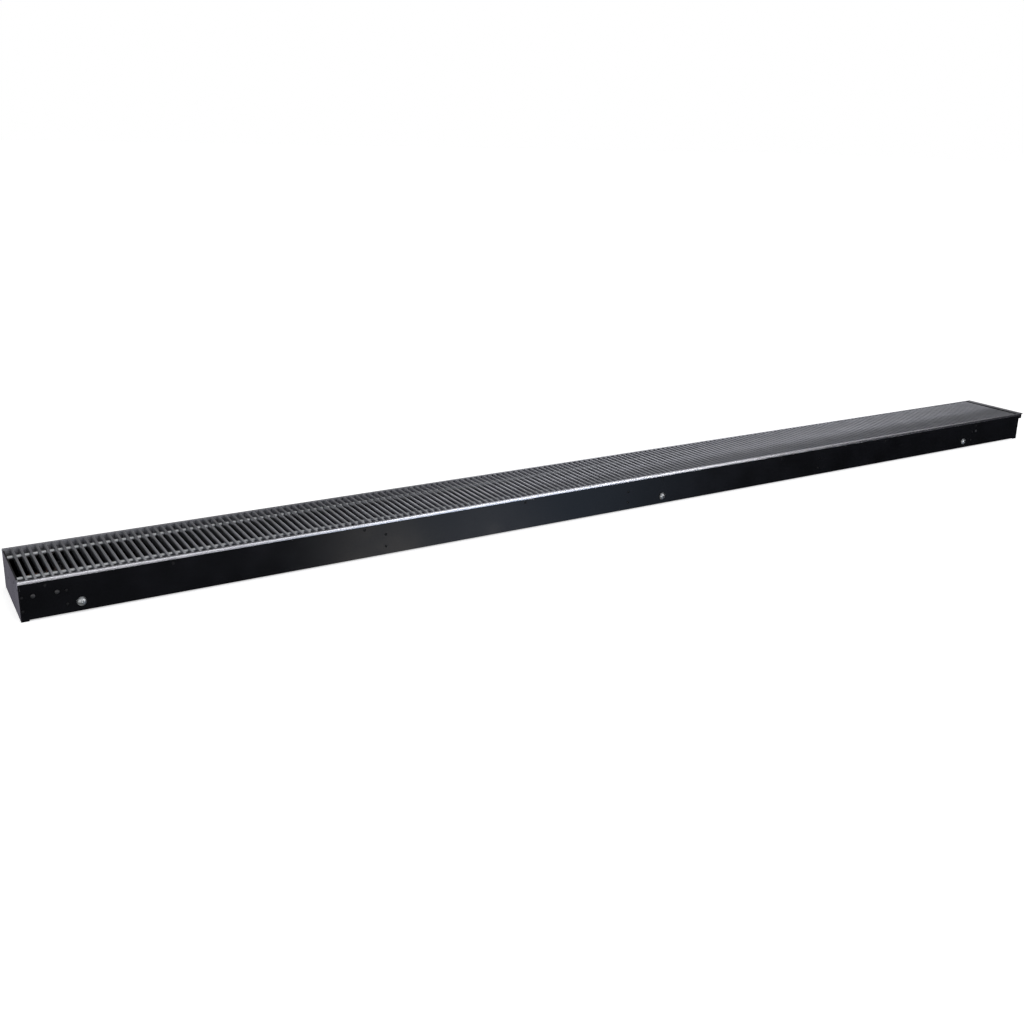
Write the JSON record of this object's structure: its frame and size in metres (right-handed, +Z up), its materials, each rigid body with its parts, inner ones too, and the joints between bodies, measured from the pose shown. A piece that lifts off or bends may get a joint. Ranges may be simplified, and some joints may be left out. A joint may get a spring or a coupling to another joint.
{
  "type": "trench convector heater",
  "caption": "Long black trench convector heater for a floor channel, with aluminium edge rails, a cross-slat grille and a finned heat exchanger inside.",
  "frame": {"origin": "on the ground, under the middle of the box round the whole heater", "axes": "+X along the trough, from the blind left end to the end where the pipes come in; -Y is the side with the three blanking plugs; +Z up"},
  "size_m": [3.015, 0.2102, 0.0825],
  "materials": {
    "black_paint": "glossy black powder coat on folded steel sheet",
    "rail_aluminium": "natural anodised extrusion, satin",
    "slat_aluminium": "natural anodised, satin",
    "zinc_plate": "bright zinc plate",
    "tube_copper": null,
    "fin_aluminium": "thin matt black coat",
    "nickel_brass": "nickel-plated brass",
    "black_rubber": "matt moulded rubber",
    "black_plastic": "moulded nylon"
  },
  "bodies": {
    "trough_body": {"trough": "black_paint", "end_plate_left": "black_paint", "end_plate_right": "black_paint", "cross_brace_1": "black_paint", "cross_brace_2": "black_paint", "cross_brace_3": "black_paint", "cross_brace_4": "black_paint", "cross_brace_5": "black_paint", "edge_rail_front": "rail_aluminium", "edge_rail_rear": "rail_aluminium", "end_rail_right": "rail_aluminium", "rest_strip_front": "black_rubber", "rest_strip_rear": "black_rubber", "pipe_grommet_front": "black_rubber", "pipe_grommet_rear": "black_rubber", "anchor_bolt_front_1": "zinc_plate", "levelling_bracket_front_1": "zinc_plate", "anchor_bolt_front_2": "zinc_plate", "levelling_bracket_front_2": "zinc_plate", "anchor_bolt_front_3": "zinc_plate", "levelling_bracket_front_3": "zinc_plate", "anchor_bolt_rear_1": "zinc_plate", "levelling_bracket_rear_1": "zinc_plate", "anchor_bolt_rear_2": "zinc_plate", "levelling_bracket_rear_2": "zinc_plate", "anchor_bolt_rear_3": "zinc_plate", "levelling_bracket_rear_3": "zinc_plate", "tube_saddle_1": "black_plastic", "tube_saddle_2": "black_plastic", "tube_saddle_3": "black_plastic", "tube_saddle_4": "black_plastic", "tube_saddle_5": "black_plastic", "blanking_plug_1": "black_plastic", "blanking_plug_2": "black_plastic", "blanking_plug_3": "black_plastic", "supply_tube": "tube_copper", "return_tube": "tube_copper", "return_bend": "tube_copper", "fin_block_1": "fin_aluminium", "fin_block_2": "fin_aluminium", "fin_block_3": "fin_aluminium", "fin_block_4": "fin_aluminium", "supply_connector": "nickel_brass", "return_connector": "nickel_brass", "air_vent_body": "nickel_brass"},
    "grille_1": {"grille_section_1": "slat_aluminium"},
    "grille_2": {"grille_section_2": "slat_aluminium"},
    "vent_screw": {"air_vent_screw": "zinc_plate"},
    "foot_front_1": {"levelling_pad_front_1": "black_rubber"},
    "screw_front_1": {"levelling_screw_front_1": "zinc_plate"},
    "foot_front_2": {"levelling_pad_front_2": "black_rubber"},
    "screw_front_2": {"levelling_screw_front_2": "zinc_plate"},
    "foot_front_3": {"levelling_pad_front_3": "black_rubber"},
    "screw_front_3": {"levelling_screw_front_3": "zinc_plate"},
    "foot_rear_1": {"levelling_pad_rear_1": "black_rubber"},
    "screw_rear_1": {"levelling_screw_rear_1": "zinc_plate"},
    "foot_rear_2": {"levelling_pad_rear_2": "black_rubber"},
    "screw_rear_2": {"levelling_screw_rear_2": "zinc_plate"},
    "foot_rear_3": {"levelling_pad_rear_3": "black_rubber"},
    "screw_rear_3": {"levelling_screw_rear_3": "zinc_plate"}
  },
  "joints": [
    {"name": "grille_1_lift", "type": "slide", "parent": "trough_body", "child": "grille_1", "axis": [0, 0, 1], "range_m": [0, 0.12]},
    {"name": "grille_2_lift", "type": "slide", "parent": "trough_body", "child": "grille_2", "axis": [0, 0, 1], "range_m": [0, 0.12]},
    {"name": "vent_screw_turn", "type": "hinge", "parent": "trough_body", "child": "vent_screw", "pos_m": [1.3198, 0.028, 0.062], "axis": [0, 0, 1], "range_deg": [0, 540]},
    {"name": "foot_front_1_travel", "type": "slide", "parent": "trough_body", "child": "foot_front_1", "axis": [0, 0, -1], "range_m": [0, 0.0201]},
    {"name": "screw_front_1_turn", "type": "hinge", "parent": "foot_front_1", "child": "screw_front_1", "pos_m": [-1.3965, -0.08019, 0.023], "axis": [0, 0, -1], "range_deg": [0, 5760]},
    {"name": "foot_front_2_travel", "type": "slide", "parent": "trough_body", "child": "foot_front_2", "axis": [0, 0, -1], "range_m": [0, 0.0201]},
    {"name": "screw_front_2_turn", "type": "hinge", "parent": "foot_front_2", "child": "screw_front_2", "pos_m": [0.03, -0.08019, 0.023], "axis": [0, 0, -1], "range_deg": [0, 5760]},
    {"name": "foot_front_3_travel", "type": "slide", "parent": "trough_body", "child": "foot_front_3", "axis": [0, 0, -1], "range_m": [0, 0.0201]},
    {"name": "screw_front_3_turn", "type": "hinge", "parent": "foot_front_3", "child": "screw_front_3", "pos_m": [1.2245, -0.08019, 0.023], "axis": [0, 0, -1], "range_deg": [0, 5760]},
    {"name": "foot_rear_1_travel", "type": "slide", "parent": "trough_body", "child": "foot_rear_1", "axis": [0, 0, -1], "range_m": [0, 0.0201]},
    {"name": "screw_rear_1_turn", "type": "hinge", "parent": "foot_rear_1", "child": "screw_rear_1", "pos_m": [-1.3965, 0.08019, 0.023], "axis": [0, 0, -1], "range_deg": [0, 5760]},
    {"name": "foot_rear_2_travel", "type": "slide", "parent": "trough_body", "child": "foot_rear_2", "axis": [0, 0, -1], "range_m": [0, 0.0201]},
    {"name": "screw_rear_2_turn", "type": "hinge", "parent": "foot_rear_2", "child": "screw_rear_2", "pos_m": [0.03, 0.08019, 0.023], "axis": [0, 0, -1], "range_deg": [0, 5760]},
    {"name": "foot_rear_3_travel", "type": "slide", "parent": "trough_body", "child": "foot_rear_3", "axis": [0, 0, -1], "range_m": [0, 0.0201]},
    {"name": "screw_rear_3_turn", "type": "hinge", "parent": "foot_rear_3", "child": "screw_rear_3", "pos_m": [1.2245, 0.08019, 0.023], "axis": [0, 0, -1], "range_deg": [0, 5760]}
  ],
  "couplings": [
    {"joint": "foot_front_1_travel", "follows": "screw_front_1_turn", "m_per_rad": 0.00019894},
    {"joint": "foot_front_2_travel", "follows": "screw_front_2_turn", "m_per_rad": 0.00019894},
    {"joint": "foot_front_3_travel", "follows": "screw_front_3_turn", "m_per_rad": 0.00019894},
    {"joint": "foot_rear_1_travel", "follows": "screw_rear_1_turn", "m_per_rad": 0.00019894},
    {"joint": "foot_rear_2_travel", "follows": "screw_rear_2_turn", "m_per_rad": 0.00019894},
    {"joint": "foot_rear_3_travel", "follows": "screw_rear_3_turn", "m_per_rad": 0.00019894}
  ]
}
